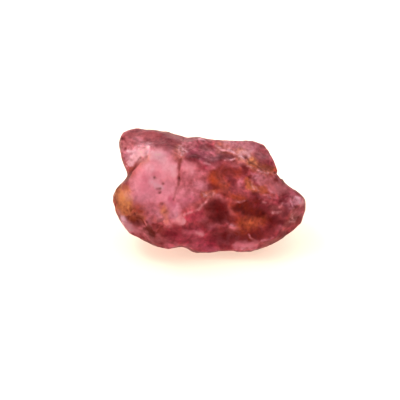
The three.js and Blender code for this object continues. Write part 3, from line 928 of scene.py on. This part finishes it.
# The hidden sides have the same mix, laid by chance: patches of a size in millimetres, with
# smaller ones at their borders, and more of some layers than of others.
PATCH_CONTRAST = 2.4
BORDER_CONTRAST = 0.7
HIDDEN_STRENGTH = 0.8
hidden = 1 - skin.front
for layer, size, seed, more in (
    ("clear", 2.6, 21, 0.4),
    ("maroon_and_shade", 2.4, 22, -0.4),
    ("plum", 2.0, 23, -0.2),
    ("iron", 2.2, 24, -0.2),
    ("rust", 1.5, 25, -0.6),
    ("frost_and_highlight", 1.8, 26, 0.1),
):
    border = skin.noise(size / 4, seed + 9) * BORDER_CONTRAST
    patch = skin.noise(size, seed) * PATCH_CONTRAST + border + more
    skin.lay(layer, np.clip(patch, 0, 1) * HIDDEN_STRENGTH * hidden)
skin.store()


def linear(code):
    """An sRGB hex colour as linear red, green, blue and alpha."""
    parts = [int(code[i : i + 2], 16) / 255 for i in (1, 3, 5)]
    return [c / 12.92 if c <= 0.04045 else ((c + 0.055) / 1.055) ** 2.4 for c in parts] + [1.0]


# Rhodolite garnet, broken and then water-worn. The eye sees into it, but dimly, because the skin
# is ground to a satin: light gets in and out blurred, and red takes over where the way through
# is long. The stains and the painted light and shade lie on each other in this order, each with
# the share that it hides: maroon, the rim band and some of the crack layer are painted shade,
# and clear, frost and vein also carry painted glow and highlights.
STAINS_AND_PAINTED_LIGHT = (
    # pale clear crystal, and painted glow
    ("clear", "#fcd8ea", 0.97),
    ("iron", "#b46a30", 0.9),
    ("ochre", "#ffdc90", 0.85),
    ("plum", "#a84a74", 0.9),
    # the deep red painted shade
    ("maroon_and_shade", "#480608", 1.0),
    ("rust", "#6a3010", 0.95),
    # the painted shade round the edge
    ("painted_rim_shade", "#443e3a", 0.95),
    ("frost_and_highlight", "#ecccdc", 0.6),
    # pale healed fracture, and painted highlights
    ("vein_and_highlight", "#fff2ff", 1.0),
    ("crack", "#4a1c10", 1.0),
)
MIST = 0.45 * MM  # the cloudy patches inside the skin
GRIT = 0.22 * MM  # the satin grain, drawn about five times as coarse as it is, so that it shows


def water_worn_rhodolite():
    """Clear purplish-red garnet under a worn and stained skin, with light and shade painted on it.
    """
    material = bpy.data.materials.new("water_worn_rhodolite")
    material.use_nodes = True
    tree = material.node_tree
    shell = tree.nodes["Principled BSDF"]
    output = tree.nodes["Material Output"]
    where = add(tree, "ShaderNodeTexCoord").outputs["Object"]
    mist = add(tree, "ShaderNodeTexNoise", {"Vector": where, "Scale": 1 / MIST, "Detail": 4.0})
    grit = add(tree, "ShaderNodeTexNoise", {"Vector": where, "Scale": 1 / GRIT, "Detail": 3.0})
    layers = {}
    for name, *_ in STAINS_AND_PAINTED_LIGHT:
        layers[name] = add(tree, "ShaderNodeAttribute", attribute_name=name).outputs["Fac"]

    # The clean skin, and the stains and painted light and shade on it, ragged where they run out.
    raggedness = 4.8
    colour = linear("#b87a84")
    spread = add(tree, "ShaderNodeMath", {0: mist, 1: 0.5}, operation="SUBTRACT")
    spread = add(tree, "ShaderNodeMath", {0: spread, 1: raggedness}, operation="MULTIPLY")
    for name, code, share in STAINS_AND_PAINTED_LIGHT:
        rest = add(tree, "ShaderNodeMath", {0: 1.0, 1: layers[name]}, operation="SUBTRACT")
        border = add(tree, "ShaderNodeMath", {0: layers[name], 1: rest}, operation="MULTIPLY")
        cover = add(
            tree,
            "ShaderNodeMath",
            {0: border, 1: spread, 2: layers[name]},
            operation="MULTIPLY_ADD",
        )
        cover = add(
            tree, "ShaderNodeMath", {0: cover, 1: share}, operation="MULTIPLY", use_clamp=True
        )
        colour = add(
            tree, "ShaderNodeMix", {"Factor": cover, 6: colour, 7: linear(code)}, data_type="RGBA"
        ).outputs[2]

    # Mist and grit mottle the skin, less where it is clear.
    evened_if_clear = 0.75
    cloudy = add(
        tree,
        "ShaderNodeMapRange",
        {"Value": mist, "From Min": 0.3, "From Max": 0.7, "To Min": 0.62, "To Max": 1.32},
    )
    gritty = add(
        tree,
        "ShaderNodeMapRange",
        {"Value": grit, "From Min": 0.3, "From Max": 0.7, "To Min": 0.74, "To Max": 1.26},
    )
    mottle = add(tree, "ShaderNodeMath", {0: cloudy, 1: gritty}, operation="MULTIPLY")
    even_out = add(tree, "ShaderNodeMath", {0: 1.0, 1: mottle}, operation="SUBTRACT")
    clean = add(
        tree, "ShaderNodeMath", {0: layers["clear"], 1: evened_if_clear}, operation="MULTIPLY"
    )
    mottle = add(
        tree, "ShaderNodeMath", {0: clean, 1: even_out, 2: mottle}, operation="MULTIPLY_ADD"
    )
    colour = add(tree, "ShaderNodeVectorMath", {0: colour, "Scale": mottle}, operation="SCALE")
    tree.links.new(colour.outputs["Vector"], shell.inputs["Base Color"])
    bump = add(
        tree, "ShaderNodeBump", {"Height": grit, "Strength": 0.5, "Distance": 0.05 * MM}
    )
    tree.links.new(bump.outputs["Normal"], shell.inputs["Normal"])

    # Frost and the painted rim shade are dull, rust nearly so, clear skin half, and the rest has a
    # satin shine.
    rust_dull = 0.8
    clear_dull = 0.5
    dull = add(tree, "ShaderNodeMath", {0: layers["rust"], 1: rust_dull}, operation="MULTIPLY")
    dull = add(tree, "ShaderNodeMath", {0: layers["frost_and_highlight"], 1: dull}, operation="MAXIMUM")
    dull = add(tree, "ShaderNodeMath", {0: layers["painted_rim_shade"], 1: dull}, operation="MAXIMUM")
    satin = add(
        tree, "ShaderNodeMath", {0: layers["clear"], 1: clear_dull}, operation="MULTIPLY"
    )
    dull = add(tree, "ShaderNodeMath", {0: dull, 1: satin}, operation="MAXIMUM")
    dull = add(tree, "ShaderNodeMapRange", {"Value": dull, "To Min": 0.36, "To Max": 0.6})
    tree.links.new(socket_of(dull), shell.inputs["Roughness"])

    # Most light goes in, bends as garnet bends it, and comes out redder the further it went.
    shell.inputs["IOR"].default_value = 1.76
    shell.inputs["Specular Tint"].default_value = linear("#b3868b")
    shell.inputs["Transmission Weight"].default_value = 0.8
    depth = add(
        tree, "ShaderNodeVolumeAbsorption", {"Color": linear("#f4646c"), "Density": 110.0}
    )
    tree.links.new(socket_of(depth), output.inputs["Volume"])
    return material


rough = bpy.data.objects.new("even_garnet", even)
bpy.context.scene.collection.objects.link(rough)
wear = rough.modifiers.new("wear", "NODES")
wear.node_group = weathering_tree()
given = dict(WEAR, Material=water_worn_rhodolite())
for socket in wear.node_group.interface.items_tree:
    if socket.name in given:
        wear[socket.identifier] = given[socket.name]
mesh = plain_mesh(rough, "worn_garnet")
mesh.transform(Matrix.Scale(MM, 4))
for vert in mesh.vertices:
    vert.co.z = max(vert.co.z, 0)  # it rests on its flat break, and nothing is below that
mesh.shade_smooth()
stone = bpy.data.objects.new("worn_garnet", mesh)
bpy.context.scene.collection.objects.link(stone)
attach(stone, "root")
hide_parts("garnet")

# --- The table -------------------------------------------------------------------------------
# A plain sheet of white paper, lit through from below as well as from above, so that it stays
# pale and warm right up to the stone. It lies a hair below the stone's flat break.

TABLE_SIZE = 2000 * MM
TABLE_GAP = 0.03 * MM

bpy.ops.mesh.primitive_plane_add(size=TABLE_SIZE, location=(0, 0, -TABLE_GAP))
table = bpy.context.active_object
table.name = "table"
paper = bpy.data.materials.new("white_paper")
paper.use_nodes = True
sheet = paper.node_tree.nodes["Principled BSDF"].inputs
sheet["Base Color"].default_value = linear("#a59d91")
sheet["Roughness"].default_value = 0.9
sheet["Emission Color"].default_value = linear("#ffe7d7")
sheet["Emission Strength"].default_value = 0.45
table.data.materials.append(paper)

# --- The light -------------------------------------------------------------------------------
# A white light tent, brightest overhead and open in front of the broad face, with one softbox
# at the upper left.

SOFTBOX_SIZE = 60 * MM
SOFTBOX_DISTANCE = 150 * MM
SOFTBOX_POWER = 0.062  # watts

world = bpy.data.worlds.new("light_tent")
bpy.context.scene.world = world
world.use_nodes = True
tent = world.node_tree
direction = add(tent, "ShaderNodeTexCoord").outputs["Generated"]
overhead = add(
    tent, "ShaderNodeVectorMath", {0: direction, 1: (0, 0, 1)}, operation="DOT_PRODUCT"
)
overhead = add(
    tent,
    "ShaderNodeMapRange",
    {
        "Value": overhead.outputs["Value"],
        "From Min": 0.3,
        "From Max": 0.95,
        "To Min": 1.08,
        "To Max": 1.52,
    },
    interpolation_type="SMOOTHSTEP",
)
opening = add(
    tent, "ShaderNodeVectorMath", {0: direction, 1: FACE_OUT}, operation="DOT_PRODUCT"
)
opening = add(
    tent,
    "ShaderNodeMapRange",
    {
        "Value": opening.outputs["Value"],
        "From Min": 0.65,
        "From Max": 0.95,
        "To Min": 1.0,
        "To Max": 0.05,
    },
    interpolation_type="SMOOTHSTEP",
)
strength = add(tent, "ShaderNodeMath", {0: overhead, 1: opening}, operation="MULTIPLY")
tent.links.new(socket_of(strength), tent.nodes["Background"].inputs["Strength"])
tent.nodes["Background"].inputs["Color"].default_value = linear("#ffffff")

softbox = bpy.data.objects.new("softbox", bpy.data.lights.new("softbox", "AREA"))
bpy.context.scene.collection.objects.link(softbox)
softbox.data.size = SOFTBOX_SIZE
softbox.data.energy = SOFTBOX_POWER
beam = (FACE_OUT * 0.45 + FACE_UP * 0.75 - FACE_RIGHT * 0.5).normalized()
softbox.location = FACE_CENTRE + beam * SOFTBOX_DISTANCE
softbox.rotation_mode = "QUATERNION"
softbox.rotation_quaternion = beam.to_track_quat("Z", "Y")

# --- The camera ------------------------------------------------------------------------------
# The camera looks squarely at the broad face, from above, through a long lens.

LENS = 100.0
SENSOR = 36.0
VIEW_WIDTH = 29.17 * MM  # how much of the table the view takes in, at the stone
STONE_OFF_CENTRE = (0.656 * MM, 0.693 * MM)  # how far the stone lies right of and above its middle

camera = bpy.data.objects.new("camera", bpy.data.cameras.new("camera"))
bpy.context.scene.collection.objects.link(camera)
bpy.context.scene.camera = camera
camera.data.lens = LENS
camera.data.sensor_width = SENSOR
camera.data.clip_start = 1 * MM
camera.data.clip_end = 10
aim = FACE_CENTRE - FACE_RIGHT * STONE_OFF_CENTRE[0] - FACE_UP * STONE_OFF_CENTRE[1]
camera.location = aim + FACE_OUT * VIEW_WIDTH * LENS / SENSOR
camera.rotation_mode = "QUATERNION"
camera.rotation_quaternion = FACE_OUT.to_track_quat("Z", "Y")
bpy.context.scene.view_settings.view_transform = "Standard"
bpy.context.scene.view_settings.look = "Very High Contrast"
